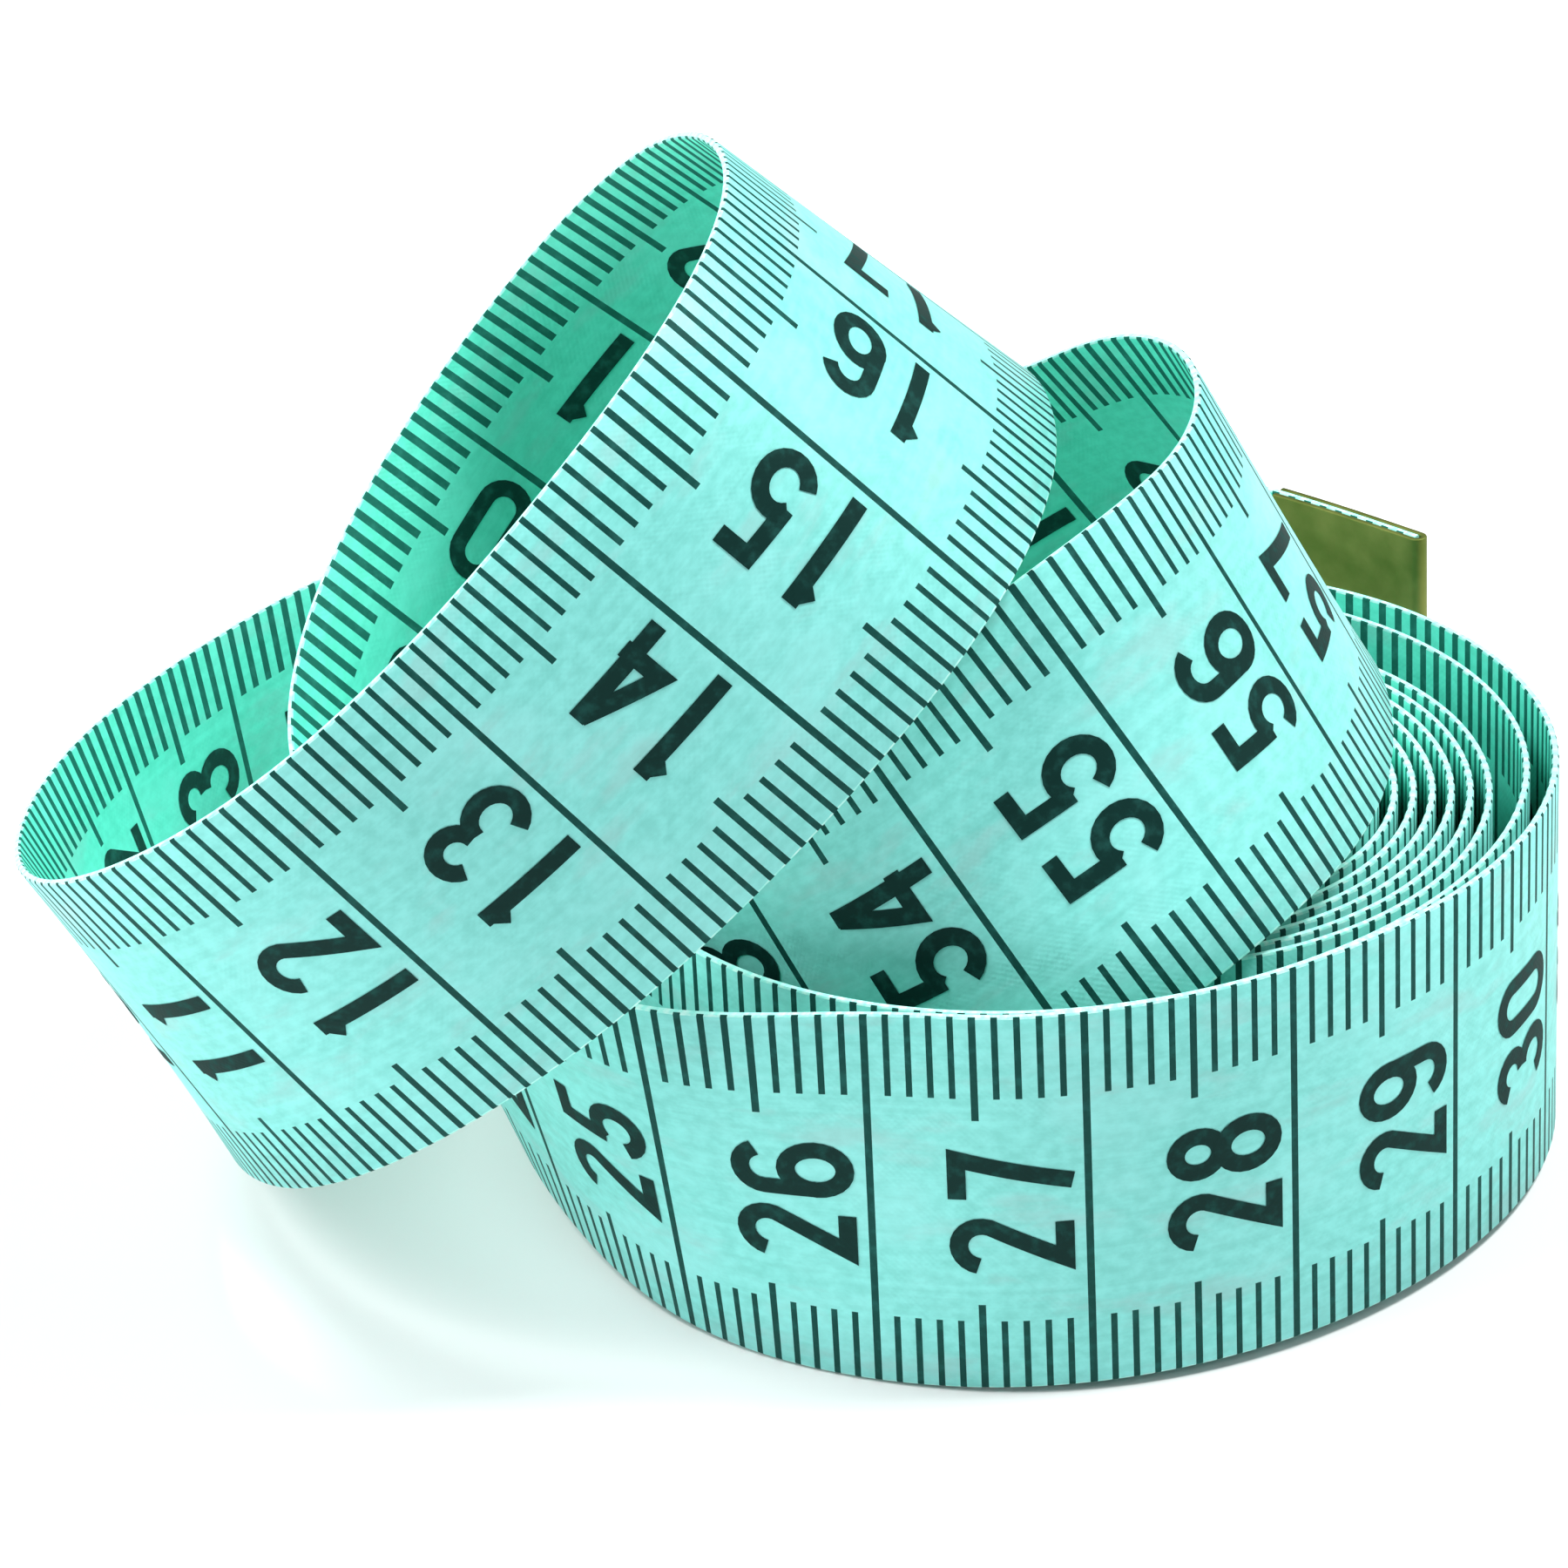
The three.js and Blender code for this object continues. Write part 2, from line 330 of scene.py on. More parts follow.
def strip_heights(low_ticks, high_ticks):
    top = TAPE_WIDTH - np.array(high_ticks)
    middle = np.linspace(low_ticks[1], top[1], NUMBER_STRIPS + 1)
    return [0, RIM, low_ticks[0], *middle, top[0], TAPE_WIDTH - RIM, TAPE_WIDTH]


# %% Sections along the tape
def side_marks(halves):
    """Both sides of every printed line, between the two ends of the tape."""
    marks = [0.0]
    for mark in range(1, TAPE_LENGTH):
        half = halves[line_level(mark)]
        marks += [mark - half, mark + half]
    return marks + [float(TAPE_LENGTH)]


section_marks = np.stack([side_marks(FRONT_LINE_HALVES), side_marks(BACK_LINE_HALVES)], axis=1)
band_levels = [0]
for mark in range(1, TAPE_LENGTH):
    band_levels += [line_level(mark), 0]
print(len(section_marks), "sections")

# %% The ring of points in each section, and the slot of each strip between them
CLOTH, BACK, INK, BACK_INK, EDGE = range(5)

front_heights = strip_heights(FRONT_LOW_TICKS, FRONT_HIGH_TICKS)
back_heights = strip_heights(BACK_LOW_TICKS, BACK_HIGH_TICKS)
ring_heights = np.array(front_heights + back_heights[::-1])
side_lifts = [RIM_LIFT] + [HALF] * (len(front_heights) - 2) + [RIM_LIFT]
ring_lifts = np.array(side_lifts + [-lift for lift in side_lifts])
ring_levels = (STRIP_LEVELS + (NEVER,)) * 2
ring_bare = [EDGE] + [CLOTH] * (STRIP_COUNT - 2) + [EDGE, EDGE, EDGE]
ring_bare += [BACK] * (STRIP_COUNT - 2) + [EDGE, EDGE]
ring_ink = [INK] * (STRIP_COUNT + 1) + [BACK_INK] * (STRIP_COUNT + 1)
print(len(ring_heights), "points in each section")


# %% A piece from points and faces
def mesh_piece(name, points, faces, slots=None, spots=None):
    """A new object, with a material slot for each face and a UV for each point."""
    mesh = bpy.data.meshes.new(name)
    mesh.from_pydata([tuple(p) for p in points], [], faces)
    if slots is not None:
        mesh.polygons.foreach_set("material_index", slots)
    if spots is not None:
        corners = np.zeros(len(mesh.loops), dtype=np.int32)
        mesh.loops.foreach_get("vertex_index", corners)
        layer = mesh.uv_layers.new(name="tape_place")
        layer.data.foreach_set("uv", (np.asarray(spots)[corners] * MM).astype(np.float32).ravel())
    mesh.validate()
    piece = bpy.data.objects.new(name, mesh)
    bpy.context.scene.collection.objects.link(piece)
    return piece


# %% Mesh of the tape
def build_tape():
    rows, ring = len(section_marks), len(ring_heights)
    marks = np.repeat(section_marks, ring // 2, axis=1).ravel()
    heights = np.tile(ring_heights, rows)
    points = on_tape(marks, heights, np.tile(ring_lifts, rows))
    faces, slots = [], []
    for i, level in enumerate(band_levels):
        for k, needed in enumerate(ring_levels):
            a, b = i * ring + k, i * ring + (k + 1) % ring
            faces.append((a, a + ring, b + ring, b))
            slots.append(ring_ink[k] if level >= needed else ring_bare[k])
    end = (rows - 1) * ring
    faces += [tuple(range(ring)), tuple(range(end + ring - 1, end - 1, -1))]
    slots += [EDGE, EDGE]
    return mesh_piece("printed_tape", points, faces, slots, np.stack([marks, heights], axis=1))


tape = build_tape()
print("tape", len(tape.data.polygons), "faces")

# %% [markdown]
# The numbers are printed in plain strokes of even width. They could be text objects, but text has a
# face of its own and would have to be bent along the tape. So every numeral is one or two strokes,
# drawn with a few corners and arcs in a cell of its own. A stroke becomes a narrow strip of small faces
# that is laid on the tape, just clear of the cloth, so it follows every bend. The front counts from the
# zero end and the back from the far end, each number just before its own centimetre line. The first one
# on each side lies under a metal tip, so both start at two.

# %% Numerals as strokes, in millimetres in their cell
CELL_WIDTH = 3.2
CELL_HEIGHT = 5.7
ARC_STEP = 15
ARC_LEAST = 4


def arc(x, y, wide, high, start, stop):
    count = max(ARC_LEAST, int(abs(stop - start) / ARC_STEP))
    turns = np.radians(np.linspace(start, stop, count + 1))
    return [(x + wide * math.cos(t), y + high * math.sin(t)) for t in turns]


def turned(strokes):
    return [[(CELL_WIDTH - x, CELL_HEIGHT - y) for x, y in stroke] for stroke in strokes]


SIX = [
    arc(1.6, 1.8, 1.1, 1.37, 180, 540),
    arc(1.6, 4.2, 1.08, 1.07, 20, 180) + [(0.52, 1.8)],
]
NUMERALS = {
    "0": [arc(1.6, 4.17, 1.1, 1.1, 0, 180) + arc(1.6, 1.53, 1.1, 1.1, 180, 360) + [(2.7, 4.17)]],
    "1": [[(1.8, 0), (1.8, CELL_HEIGHT)], [(1.8, 5.3), (1.2, 4.6)]],
    "2": [arc(1.58, 4.19, 1.08, 1.08, 170, -35) + [(0.82, 0.43), (2.8, 0.43)]],
    "3": [arc(1.5, 4.22, 1.0, 1.05, 160, -90), arc(1.5, 1.72, 1.12, 1.29, 90, -160)],
    "4": [[(2.05, 5.5), (0.47, 1.75), (2.72, 1.75)], [(2.15, 0), (2.15, CELL_HEIGHT)]],
    "5": [[(2.7, 5.27), (0.95, 5.27), (0.83, 2.55)], arc(1.5, 1.72, 1.13, 1.29, 135, -160)],
    "6": SIX,
    "7": [[(0.45, 5.27), (2.6, 5.27), (1.35, 0)]],
    "8": [arc(1.6, 4.2, 0.95, 1.07, -90, 270), arc(1.6, 1.72, 1.08, 1.29, 90, 450)],
    "9": turned(SIX),
}
print("strokes of each numeral", {name: len(strokes) for name, strokes in NUMERALS.items()})


# %% Points along a stroke, with clear room at its sharp corners
STROKE = 0.86
FACE_LENGTH = 0.45
SHARP = math.radians(40)
CORNER_SPARE = 1.02
SAME_PLACE = 0.001


def corner_room(before, corner, after):
    """How far back from a sharp corner the inner edge of the stroke reaches."""
    way_in = math.atan2(corner[1] - before[1], corner[0] - before[0])
    way_out = math.atan2(after[1] - corner[1], after[0] - corner[0])
    turn = abs(math.remainder(way_out - way_in, 2 * math.pi))
    return STROKE / 2 * math.tan(turn / 2) * CORNER_SPARE if turn > SHARP else 0


def spaced(points):
    """The same stroke with points no further apart than a face may be long."""
    rooms = [0] + [corner_room(*points[i - 1 : i + 2]) for i in range(1, len(points) - 1)] + [0]
    out = [points[0]]
    for i, (a, b) in enumerate(zip(points, points[1:])):
        length = math.dist(a, b)
        start, stop = rooms[i], length - rooms[i + 1]
        count = max(1, math.ceil((stop - start) / FACE_LENGTH))
        shares = [(start + (stop - start) * k / count) / length for k in range(count + 1)]
        shares = [s for s in shares if SAME_PLACE < s < 1 - SAME_PLACE] + [1]
        out += [(a[0] + (b[0] - a[0]) * s, a[1] + (b[1] - a[1]) * s) for s in shares]
    return np.array(out)


# %% A stroke as a strip with mitred corners
MITRE_MOST = 2.2
MITRE_LEAST = 0.2


def strip_of(points):
    """Left edge, middle and right edge of a stroke."""
    middle = spaced(points)
    step = unit(np.diff(middle, axis=0))
    sides = np.stack([-step[:, 1], step[:, 0]], axis=1)
    closed = np.allclose(middle[0], middle[-1])
    before = np.concatenate([sides[-1:] if closed else sides[:1], sides])
    after = np.concatenate([sides, sides[:1] if closed else sides[-1:]])
    side = unit(before + after)
    mitre = np.minimum(MITRE_MOST, 1 / np.maximum(MITRE_LEAST, (side * after).sum(axis=1)))
    side *= mitre[:, None] * STROKE / 2
    return np.stack([middle + side, middle, middle - side], axis=1)


# %% Mesh of each numeral
STROKE_LIFT = 0.006


def numeral_mesh(strokes):
    """Points with their lift, and faces. A second stroke lies just above the first, where they cross."""
    points, faces = [], []
    for layer, stroke in enumerate(strokes):
        strip = strip_of(stroke)
        base = len(points)
        points += [(x, y, layer * STROKE_LIFT) for x, y in strip.reshape(-1, 2)]
        for i in range(len(strip) - 1):
            for k in range(2):
                a = base + 3 * i + k
                faces.append((a, a + 1, a + 4, a + 3))
    return np.array(points), faces


NUMERAL_MESHES = {name: numeral_mesh(strokes) for name, strokes in NUMERALS.items()}
print("faces of each numeral", {name: len(mesh[1]) for name, mesh in NUMERAL_MESHES.items()})

# %% Numbers of both sides, laid on the tape
CELL_ADVANCE = 3.65
NUMBER_MIDDLE = 9.65
NUMBER_CLEAR = 0.7
FIRST_NUMBER = 2
INK_LIFT = 0.03


def build_numbers(name, front):
    marks, heights, lifts, faces = [], [], [], []
    side = 1 if front else -1
    for number in range(FIRST_NUMBER, TAPE_LENGTH // 10):
        text = str(number)
        start = NUMBER_MIDDLE - (CELL_ADVANCE * (len(text) - 1) + CELL_WIDTH) / 2
        for place, numeral in enumerate(text):
            points, quads = NUMERAL_MESHES[numeral]
            base = len(marks)
            counted = number * 10 - NUMBER_CLEAR - points[:, 1]
            marks += list(counted if front else TAPE_LENGTH - counted)
            heights += list(start + place * CELL_ADVANCE + points[:, 0])
            lifts += list(side * (HALF + INK_LIFT + points[:, 2]))
            faces += [tuple(base + corner for corner in quad) for quad in quads]
    spots = np.stack([marks, heights], axis=1)
    return mesh_piece(name, on_tape(marks, heights, lifts), faces, None, spots)


front_numbers = build_numbers("front_numbers", True)
back_numbers = build_numbers("back_numbers", False)
print("numbers from", FIRST_NUMBER, "to", TAPE_LENGTH // 10 - 1, "on each side")


# %% Faces of the print turned outwards
def face_outwards(piece, front):
    """Turns each face of the print so that it looks away from the cloth."""
    mesh = piece.data
    places = np.array([mesh.uv_layers[0].data[p.loop_start].uv for p in mesh.polygons]) / MM
    normal = route_at(places[:, 0])[3] * (1 if front else -1)
    wrong = [i for i, p in enumerate(mesh.polygons) if Vector(normal[i]).dot(p.normal) < 0]
    for i in wrong:
        mesh.polygons[i].flip()
    mesh.update()
    return len(wrong)


for piece, front in ((front_numbers, True), (back_numbers, False)):
    print(piece.name, len(piece.data.polygons), "faces, turned", face_outwards(piece, front))

# %% [markdown]
# Each end of the tape is held in a folded tip of sheet metal. It could be a box with a slot, but a
# folded sheet has a round back and open sides. So it starts as a plane the size of one leaf. Its end
# edge is spun half round to make the fold, and that edge is drawn back to make the second leaf. Cuts
# across the leaves let it follow the tape, Solidify gives the sheet its thickness, and Bevel breaks its
# edges. It is made flat, and then each of its points goes to its own spot on the tape.

# %% Work on chosen edges of a piece
NEAR = 0.01


def make_active(piece):
    bpy.ops.object.select_all(action="DESELECT")
    piece.select_set(True)
    bpy.context.view_layer.objects.active = piece


def select_edges(mesh, test):
    for group in (mesh.vertices, mesh.edges, mesh.polygons):
        group.foreach_set("select", [False] * len(group))
    for edge in mesh.edges:
        ends = [mesh.vertices[v].co / MM for v in edge.vertices]
        edge.select = all(test(end) for end in ends)


def in_edit_mode(piece, test, work):
    """Selects the edges whose ends pass a test, in code, and then runs an operator on them."""
    bpy.ops.object.mode_set(mode="OBJECT")
    select_edges(piece.data, test)
    bpy.ops.object.mode_set(mode="EDIT")
    bpy.ops.mesh.select_mode(type="EDGE")
    work()
    bpy.ops.object.mode_set(mode="OBJECT")


def everywhere(point):
    return True


# %% Flat tip: x runs in from the end of the tape, y across it and z off its middle
TIP_LENGTH = 9
TIP_SHEET = 0.3
TIP_CLEAR = 0.03
TIP_SEAT = HALF + TIP_CLEAR
FOLD_STEPS = 8
LEAF_CUTS = 8


def first_leaf(name):
    bpy.ops.object.select_all(action="DESELECT")
    middle = (TIP_LENGTH / 2 * MM, TAPE_WIDTH / 2 * MM, TIP_SEAT * MM)
    bpy.ops.mesh.primitive_plane_add(size=MM, location=middle)
    piece = bpy.context.object
    piece.name = name
    piece.scale = (TIP_LENGTH, TAPE_WIDTH, 1)
    bpy.ops.object.transform_apply(location=True, rotation=True, scale=True)
    return piece


def at_leaf_end(point):
    return point.x < NEAR


def at_fold_end(point):
    return abs(point.x) < NEAR and point.z < -0.9 * TIP_SEAT


def flat_tip(name):
    piece = first_leaf(name)
    fold = dict(steps=FOLD_STEPS, angle=math.pi, center=(0, 0, 0), axis=(0, 1, 0))
    in_edit_mode(piece, at_leaf_end, lambda: bpy.ops.mesh.spin(**fold))
    if min(v.co.x for v in piece.data.vertices) > -0.1 * TIP_SEAT * MM:
        raise RuntimeError("the tip folded inwards")
    draw = dict(TRANSFORM_OT_translate={"value": (TIP_LENGTH * MM, 0, 0)})
    in_edit_mode(piece, at_fold_end, lambda: bpy.ops.mesh.extrude_region_move(**draw))
    for cut in range(1, LEAF_CUTS):
        plane = dict(plane_co=(TIP_LENGTH * cut / LEAF_CUTS * MM, 0, 0), plane_no=(1, 0, 0))
        in_edit_mode(piece, everywhere, lambda: bpy.ops.mesh.bisect(**plane))
    return piece


# %% Sheet thickness, broken edges and the place on the tape
TIP_EDGE = 0.07
TIP_EDGE_STEPS = 2
TIP_SMOOTH = math.radians(40)


def apply_modifier(piece, kind, **settings):
    make_active(piece)
    modifier = piece.modifiers.new(kind.lower(), kind)
    for key, value in settings.items():
        setattr(modifier, key, value)
    bpy.ops.object.modifier_apply(modifier=modifier.name)


def even_normals(piece):
    in_edit_mode(piece, everywhere, lambda: bpy.ops.mesh.normals_make_consistent(inside=False))


def outward_sheet(piece):
    """Points the open sheet's faces away from the tape before it gets its thickness."""
    even_normals(piece)
    first = piece.data.polygons[0]
    if first.normal.z * first.center.z < 0:
        in_edit_mode(piece, everywhere, bpy.ops.mesh.flip_normals)


def build_tip(name, end, inward):
    tip = flat_tip(name)
    outward_sheet(tip)
    apply_modifier(tip, "SOLIDIFY", thickness=TIP_SHEET * MM, offset=1, use_even_offset=True)
    apply_modifier(tip, "BEVEL", width=TIP_EDGE * MM, segments=TIP_EDGE_STEPS, limit_method="ANGLE")
    flat = np.array([v.co for v in tip.data.vertices]) / MM
    places = on_tape(end + inward * flat[:, 0], flat[:, 1], flat[:, 2])
    for vertex, place in zip(tip.data.vertices, places):
        vertex.co = place
    even_normals(tip)
    bpy.ops.object.shade_smooth_by_angle(angle=TIP_SMOOTH)
    return tip


zero_tip = build_tip("zero_end_clip", 0, 1)
far_tip = build_tip("far_end_clip", TAPE_LENGTH, -1)
for tip in (zero_tip, far_tip):
    print(tip.name, len(tip.data.polygons), "faces")

# %% Smooth shading of the cloth
CLOTH_SMOOTH = math.radians(38)

for piece in (tape, front_numbers, back_numbers):
    make_active(piece)
    bpy.ops.object.shade_smooth_by_angle(angle=CLOTH_SMOOTH)
print("cloth and print are smooth, with sharp rims")

# %% [markdown]
# Finishes could be wired by hand, node by node, but long chains of nodes are hard to read. Here they
# are written as expressions. A wire stands for one output of a node, and adding or multiplying wires
# adds the Math nodes. Everything else, such as noise, a mix or a bump, comes from one method that takes
# the kind of node, its settings and its inputs.


# %% Wires for shader maths
class Wire:
    """A socket of a material's node tree that takes part in Python expressions."""

    def __init__(self, tree, socket):
        self.tree = tree
        self.socket = socket

    def node(self, kind, settings=None, out=0, **inputs):
        """A new node. An input is named, or numbered as i0, i1 and so on where names repeat."""
        made = self.tree.nodes.new("ShaderNode" + kind)
        for key, value in (settings or {}).items():
            setattr(made, key, value)
        for key, value in inputs.items():
            name = key.replace("_", " ")
            slot = made.inputs[int(key[1:])] if key[1:].isdigit() else made.inputs[name]
            if isinstance(value, Wire):
                self.tree.links.new(value.socket, slot)
            else:
                slot.default_value = value
        return Wire(self.tree, made.outputs[out])

    def math(self, operation, *values):
        inputs = {"i%d" % i: value for i, value in enumerate(values)}
        return self.node("Math", {"operation": operation}, **inputs)

    def __add__(self, other):
        return self.math("ADD", self, other)

    def __mul__(self, other):
        return self.math("MULTIPLY", self, other)

    __radd__ = __add__
    __rmul__ = __mul__

    def blend(self, first, second):
        """A colour between two others, by this wire's share."""
        return self.node("Mix", {"data_type": "RGBA"}, out=2, i0=self, i6=first, i7=second)

    def between(self, low, high):
        """0 below a value, 1 above another and a smooth step in between."""
        settings = {"interpolation_type": "SMOOTHSTEP"}
        return self.node("MapRange", settings, Value=self, From_Min=low, From_Max=high)


# %% A material, its shader and the place on the tape
def new_finish(name, **constants):
    material = bpy.data.materials.new(name)
    material.use_nodes = True
    shader = material.node_tree.nodes["Principled BSDF"]
    for key, value in constants.items():
        shader.inputs[key.replace("_", " ")].default_value = value
    return material, shader, Wire(material.node_tree, None)


def join(start, shader, **wires):
    for key, value in wires.items():
        start.tree.links.new(value.socket, shader.inputs[key.replace("_", " ")])


def tape_place(start):
    """Mark along and height across, in millimetres, from the piece's own UV."""
    place = start.node("UVMap", {"uv_map": "tape_place"})
    split = start.node("SeparateXYZ", Vector=place)
    height = Wire(start.tree, split.socket.node.outputs["Y"])
    return split * (1 / MM), height * (1 / MM)


# %% [markdown]
# The cloth is a fine glass weave under a soft mint coating, and the print is ink on that coating. A
# plain colour would look like plastic film, so the weave shows through the coating as a very low bump,
# made of waves along and across that come and go. Both the cloth and the ink use it, so that the ink
# lies in the same threads.

# %% Noise that is stretched along or across the tape
NOISE_ROUGHNESS = 0.55


def noise_at(start, place, pattern):
    """Noise from a pattern: its waves a millimetre along and across the tape, and its detail."""
    along, across = place
    waves_along, waves_across, detail = pattern
    spot = start.node("CombineXYZ", X=along * waves_along, Y=across * waves_across)
    flat = {"noise_dimensions": "2D"}
    fine = dict(Scale=1.0, Detail=detail, Roughness=NOISE_ROUGHNESS)
    return start.node("TexNoise", flat, Vector=spot, **fine)


# %% Weave shared by cloth and ink
THREAD = 0.34
THREAD_SHARE = 0.45
SLUBS = (0.35, 0.8, 2.0)
SLUB_RANGE = (0.3, 0.7)
FIBRES = (0.9, 3.0, 2.0)
WEAVE_DEPTH = 0.05 * MM


def threads(distance):
    return distance.math("SINE", distance * (2 * math.pi / THREAD))


def weave_height(start, place):
    along, across = place
    slubs = noise_at(start, place, SLUBS).between(*SLUB_RANGE)
    fibres = noise_at(start, place, FIBRES)
    return threads(along) * threads(across) * slubs * THREAD_SHARE + fibres


def weave_bump(start, place, strength):
    height = weave_height(start, place)
    return start.node("Bump", Strength=strength, Distance=WEAVE_DEPTH, Height=height)


# %% [markdown]
# The colour of the cloth wanders a little: fine grain and faint streaks along the threads, cloudy pale
# patches and a few greyish smudges. It could be one noise, but the streaks are long and the clouds are
# wide, so each has a noise of its own, stretched to its shape. The back is painted a greener, brighter
# mint than the front: painted light, for the green light that bounces between the turns and inside the
# loops, where the back faces.

# %% Cloth of the front and the back
FRONT_TONES = (
    (0.18, 0.62, 0.565, 1),
    (0.245, 0.76, 0.71, 1),
    (0.34, 0.8, 0.78, 1),
    (0.33, 0.54, 0.53, 1),
)
# Tones of the back: the front's mint made greener and brighter, painted bounce light of the inner faces
BACK_BOUNCE_TONES = (
    (0.09, 0.73, 0.535, 1),
    (0.13, 0.87, 0.665, 1),
    (0.2, 0.89, 0.73, 1),
    (0.22, 0.64, 0.54, 1),
)
STREAKS = (0.05, 3.2, 3.0)
GRAIN = (1.2, 1.7, 4.0)
GRAIN_SHARE = 0.7
GRAIN_RANGE = (0.25, 0.75)
CLOUDS = (0.11, 0.16, 3.0)
CLOUD_SHARE = 0.5
CLOUD_RANGE = (0.42, 0.85)
SMUDGES = (0.14, 0.4, 5.0)
SMUDGE_SHARE = 0.42
SMUDGE_RANGE = (0.53, 0.76)
SMUDGE_SHIFT = 41 / SMUDGES[0]
CLOTH_BUMP = 0.17
CLOTH_ROUGH = 0.42
CLOUD_ROUGH = 0.16


def cloth_finish(name, tones):
    """Coated cloth from four tones: between the threads, on the threads, in pale clouds and in smudges."""
    deep, middle, pale, smudge = tones
    material, shader, start = new_finish(name, Specular_IOR_Level=0.4)
    place = tape_place(start)
    streaks = noise_at(start, place, STREAKS)
    grain = noise_at(start, place, GRAIN)
    clouds = noise_at(start, place, CLOUDS)
    smudges = noise_at(start, (place[0] + SMUDGE_SHIFT, place[1]), SMUDGES)
    fine = grain * GRAIN_SHARE + streaks * (1 - GRAIN_SHARE)
    colour = fine.between(*GRAIN_RANGE).blend(deep, middle)
    colour = (clouds.between(*CLOUD_RANGE) * CLOUD_SHARE).blend(colour, pale)
    colour = (smudges.between(*SMUDGE_RANGE) * SMUDGE_SHARE).blend(colour, smudge)
    roughness = CLOTH_ROUGH + clouds * CLOUD_ROUGH
    bump = weave_bump(start, place, CLOTH_BUMP)
    join(start, shader, Base_Color=colour, Roughness=roughness, Normal=bump)
    return material


front_cloth = cloth_finish("mint_cloth", FRONT_TONES)
back_cloth_painted_bounce = cloth_finish("mint_cloth_back_painted_bounce", BACK_BOUNCE_TONES)
print("cloth nodes", len(front_cloth.node_tree.nodes))

# %% [markdown]
# The ink is a dark green print that is worn thin in places. One black would be too hard: on the real
# tape the lines are printed more thinly than the numbers, so each of the four has two tones of its own.
# The back's inks are greener and lighter than the front's: painted bounce light, like the back's cloth.

# %% Ink of the lines and the numbers
INKS = {
    "front_line_ink": ((0.005, 0.06, 0.051, 1), (0.016, 0.11, 0.096, 1)),
    # The back's two inks are greener and lighter than the front's: painted bounce light, as the back's
    # print lies in the green light inside the loops
    "back_line_ink_painted_bounce": ((0.009, 0.14, 0.102, 1), (0.023, 0.21, 0.162, 1)),
    "front_number_ink": ((0.002, 0.026, 0.022, 1), (0.01, 0.07, 0.06, 1)),
    "back_number_ink_painted_bounce": ((0.003, 0.05, 0.037, 1), (0.013, 0.12, 0.092, 1)),
}
WEAR = (1.3, 1.3, 4.0)
WEAR_SHARE = 0.8
WEAR_RANGE = (0.45, 0.8)
INK_BUMP = 0.15
INK_ROUGH = 0.6
WEAR_ROUGH = 0.15


def ink_finish(name, tones):
    """Print from two tones: where the ink is whole, and where it has worn thin."""
    whole, thin = tones
    material, shader, start = new_finish(name, Specular_IOR_Level=0.1)
    place = tape_place(start)
    worn = noise_at(start, place, WEAR).between(*WEAR_RANGE)
    colour = (worn * WEAR_SHARE).blend(whole, thin)
    roughness = INK_ROUGH + worn * WEAR_ROUGH
    bump = weave_bump(start, place, INK_BUMP)
    join(start, shader, Base_Color=colour, Roughness=roughness, Normal=bump)
    return material


inks = {name: ink_finish(name, tones) for name, tones in INKS.items()}
print("inks", sorted(inks))

# %% [markdown]
# The cut rims are painted paler than the faces, a painted highlight where the edges catch the light,
# and they are a little fibrous. They could share the cloth's finish, but then the edges of the turns
# would be lost against each other.

# %% Rim, and the finishes put on the tape and its numbers
# Both rim tones are paler than the cloth: a painted highlight along the edges, mixed by fibre noise
RIM_SOFT_HIGHLIGHT = (0.3, 0.82, 0.74, 1)
RIM_BRIGHT_HIGHLIGHT = (0.56, 0.9, 0.84, 1)
RIM_FIBRES = (2.4, 6.0, 3.0)
RIM_RANGE = (0.35, 0.7)
RIM_BUMP = 0.3
RIM_ROUGH = 0.6
FIBRE_ROUGH = 0.2


def rim_finish():
    material, shader, start = new_finish("cut_rim_painted_highlight", Specular_IOR_Level=0.3)
    fibres = noise_at(start, tape_place(start), RIM_FIBRES)
    colour = fibres.between(*RIM_RANGE).blend(RIM_SOFT_HIGHLIGHT, RIM_BRIGHT_HIGHLIGHT)
    bump = start.node("Bump", Strength=RIM_BUMP, Distance=WEAVE_DEPTH, Height=fibres)
    roughness = RIM_ROUGH + fibres * FIBRE_ROUGH
    join(start, shader, Base_Color=colour, Roughness=roughness, Normal=bump)
    return material


line_inks = (inks["front_line_ink"], inks["back_line_ink_painted_bounce"])
for finish in (front_cloth, back_cloth_painted_bounce, *line_inks, rim_finish()):
    tape.data.materials.append(finish)
front_numbers.data.materials.append(inks["front_number_ink"])
back_numbers.data.materials.append(inks["back_number_ink_painted_bounce"])
print("tape finishes", [finish.name for finish in tape.data.materials])

# %% [markdown]
# The tips are brass sheet that has dulled. A clean metal would mirror the lamps, and the real one
# doesn't, so it is a dark olive metal with fine lengthwise scratches, and patches that vary at random
# in tone and roughness. The dark olive greens are painted shade, and their green is a painted
# reflection of the mint tape around the tips.

# %% Tip metal
# Two dark olive tones: painted shade on the brass, greened by a painted reflection of the mint tape
TIP_SHADED_OLIVE = (0.235, 0.27, 0.075, 1)
TIP_DEEPER_SHADE = (0.125, 0.175, 0.035, 1)
PATCH_SIZE = 420.0
PATCH_RANGE = (0.25, 0.8)
SCRATCH_SIZE = (900.0, 900.0, 6000.0)
SCRATCH_BUMP = 0.15
SCRATCH_DEPTH = 0.02 * MM
TIP_ROUGH = 0.42
PATCH_ROUGH = 0.25


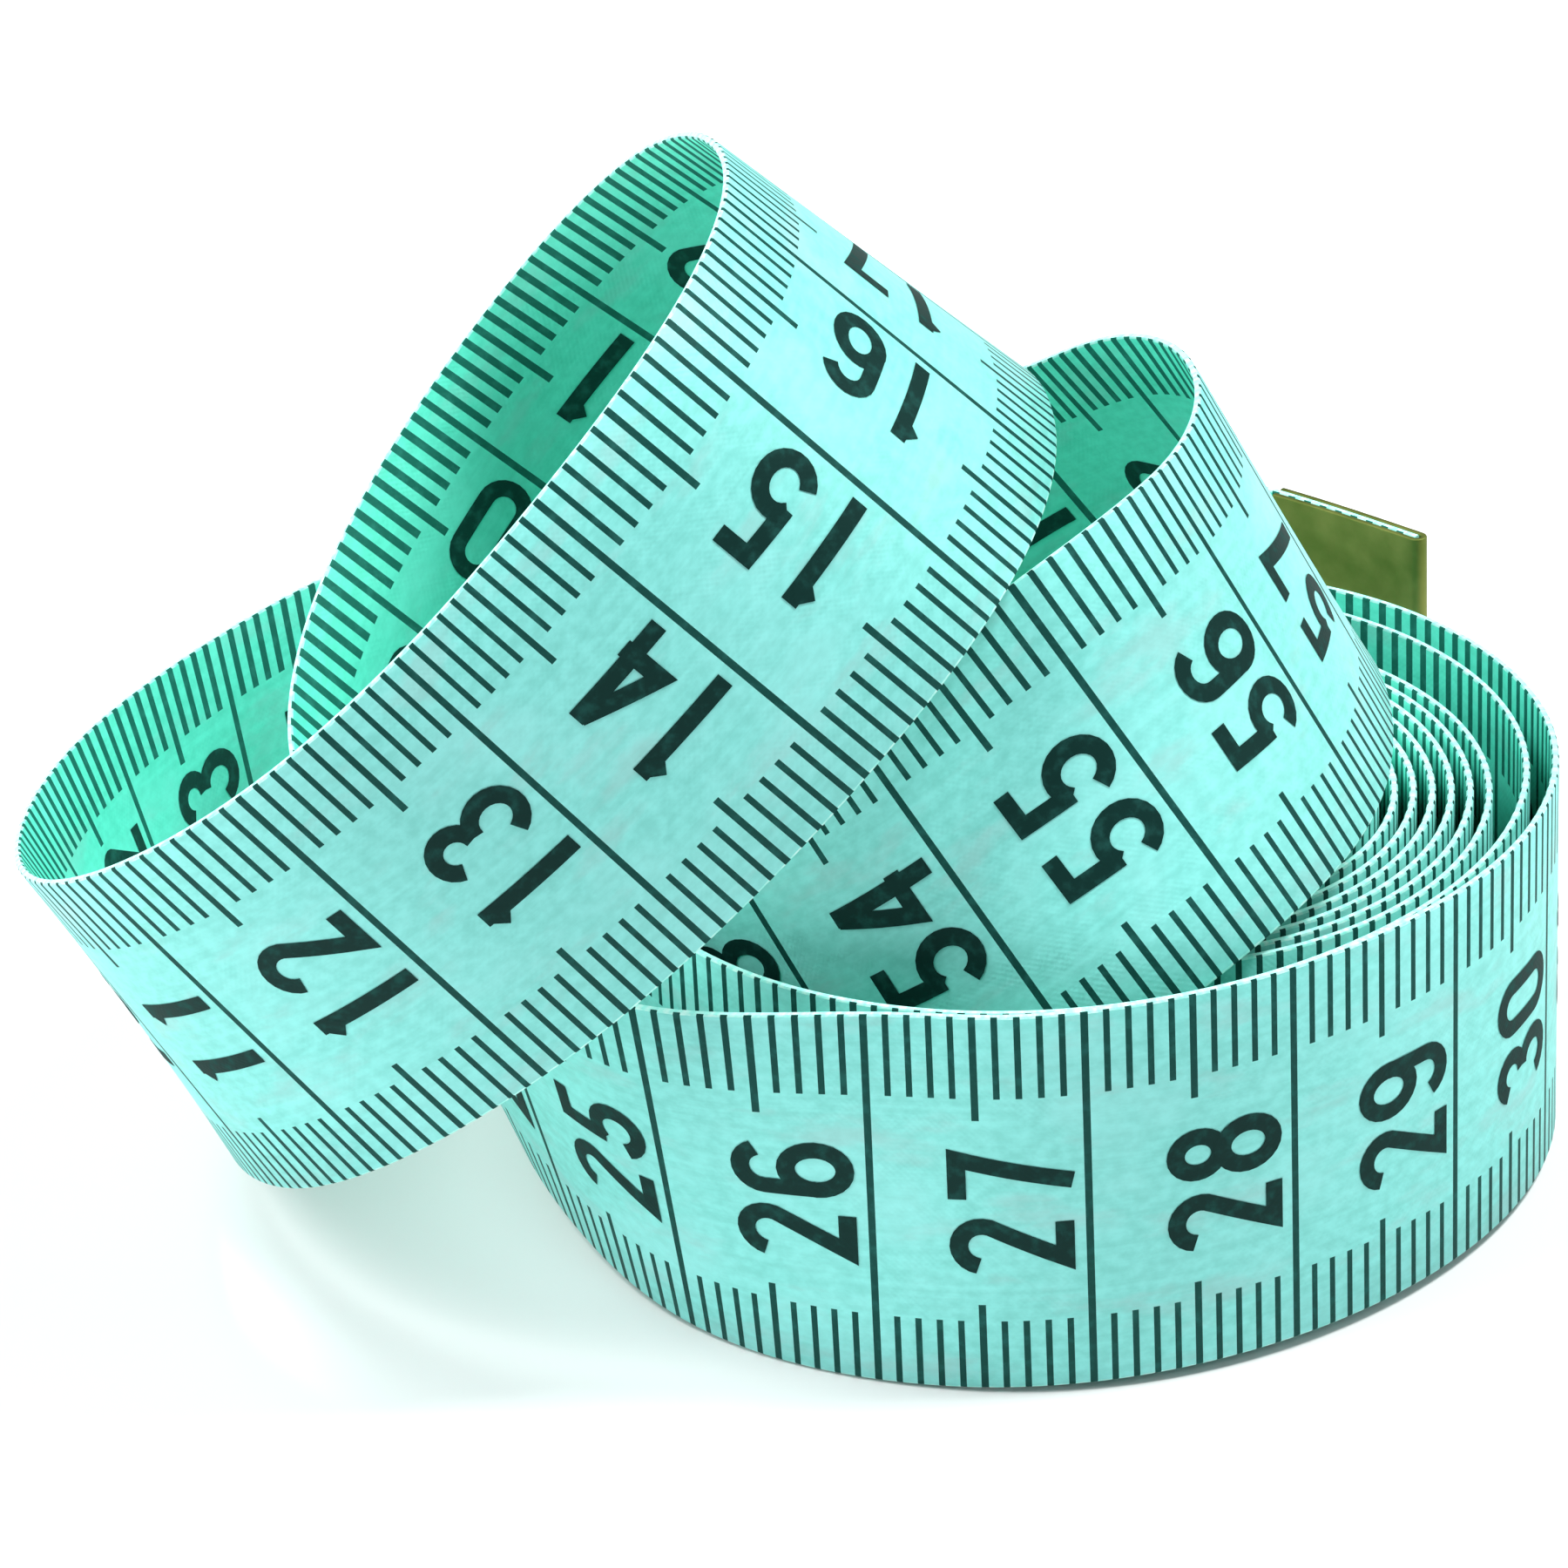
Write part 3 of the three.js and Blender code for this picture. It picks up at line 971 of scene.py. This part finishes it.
def metal_finish():
    material, shader, start = new_finish("brass_painted_shade", Metallic=1.0)
    spot = start.node("TexCoord", out="Object")
    patches = start.node("TexNoise", Vector=spot, Scale=PATCH_SIZE, Detail=4.0)
    stretched = start.node("Mapping", Vector=spot, Scale=SCRATCH_SIZE)
    scratch = start.node("TexNoise", Vector=stretched, Scale=1.0, Detail=3.0)
    colour = patches.between(*PATCH_RANGE).blend(TIP_DEEPER_SHADE, TIP_SHADED_OLIVE)
    bump = start.node("Bump", Strength=SCRATCH_BUMP, Distance=SCRATCH_DEPTH, Height=scratch)
    join(start, shader, Base_Color=colour, Roughness=TIP_ROUGH + patches * PATCH_ROUGH, Normal=bump)
    return material


brass = metal_finish()
for tip in (zero_tip, far_tip):
    tip.data.materials.clear()
    tip.data.materials.append(brass)
print("tip metal nodes", len(brass.node_tree.nodes))

# %% [markdown]
# The table is a plain white plane, wide enough to fill the view. The light could be a sky, but the
# shadow at the left has an edge, so it is that of a small studio tent: a dim, even surround, one soft
# lamp high at each side, and a weaker one low at each side. The high lamp at the right is the smallest
# and makes that edge. The tops and sides of the loops are then the bright ones, and the coil's front,
# towards the camera, is a little dimmer.

# %% Table
FLOOR_SIZE = 4.0
FLOOR_DROP = 0.02 * MM
FLOOR_WHITE = (0.78, 0.79, 0.79, 1)

bpy.ops.object.select_all(action="DESELECT")
bpy.ops.mesh.primitive_plane_add(size=FLOOR_SIZE, location=(0, 0, -FLOOR_DROP))
floor = bpy.context.object
floor.name = "table"
paper, paper_shader, _ = new_finish("white_table", Roughness=0.9, Specular_IOR_Level=0.1)
paper_shader.inputs["Base Color"].default_value = FLOOR_WHITE
floor.data.materials.append(paper)
print("table", FLOOR_SIZE, "m across")

# %% Light: the place, size and power of each lamp
SURROUND = 0.2
LAMP_AIM = Vector((0, 0, 0.02))
LAMPS = {
    "right_lamp": ((0.36, 0.06, 0.78), 0.22, 7.6),
    "left_lamp": ((-0.5, 0.0, 0.7), 0.5, 7.6),
    "low_left_lamp": ((-0.73, -0.06, 0.33), 0.5, 3.6),
    "low_right_lamp": ((0.72, -0.03, 0.36), 0.5, 1.4),
}


def area_lamp(name, place, size, power):
    lamp = bpy.data.objects.new(name, bpy.data.lights.new(name, "AREA"))
    lamp.data.energy = power
    lamp.data.size = size
    bpy.context.scene.collection.objects.link(lamp)
    turn = (LAMP_AIM - Vector(place)).to_track_quat("-Z", "Y").to_matrix().to_4x4()
    lamp.matrix_world = Matrix.Translation(place) @ turn


world = bpy.data.worlds.new("studio")
world.use_nodes = True
background = world.node_tree.nodes["Background"]
background.inputs["Color"].default_value = (1, 1, 1, 1)
background.inputs["Strength"].default_value = SURROUND
bpy.context.scene.world = world
bpy.context.scene.view_settings.view_transform = "Standard"
for name, (place, size, power) in LAMPS.items():
    area_lamp(name, place, size, power)
print(len(LAMPS), "lamps, surround", SURROUND)

# %% [markdown]
# Last, every piece is hung on the one body, because nothing on a cloth tape turns or slides on a
# joint. The printed tape stands for the solid tape, and the clips for the solid tips, which are hidden.

for piece in (tape, front_numbers, back_numbers, zero_tip, far_tip):
    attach(piece, "root")
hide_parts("tape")
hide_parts("zero_end_tip")
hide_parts("far_end_tip")
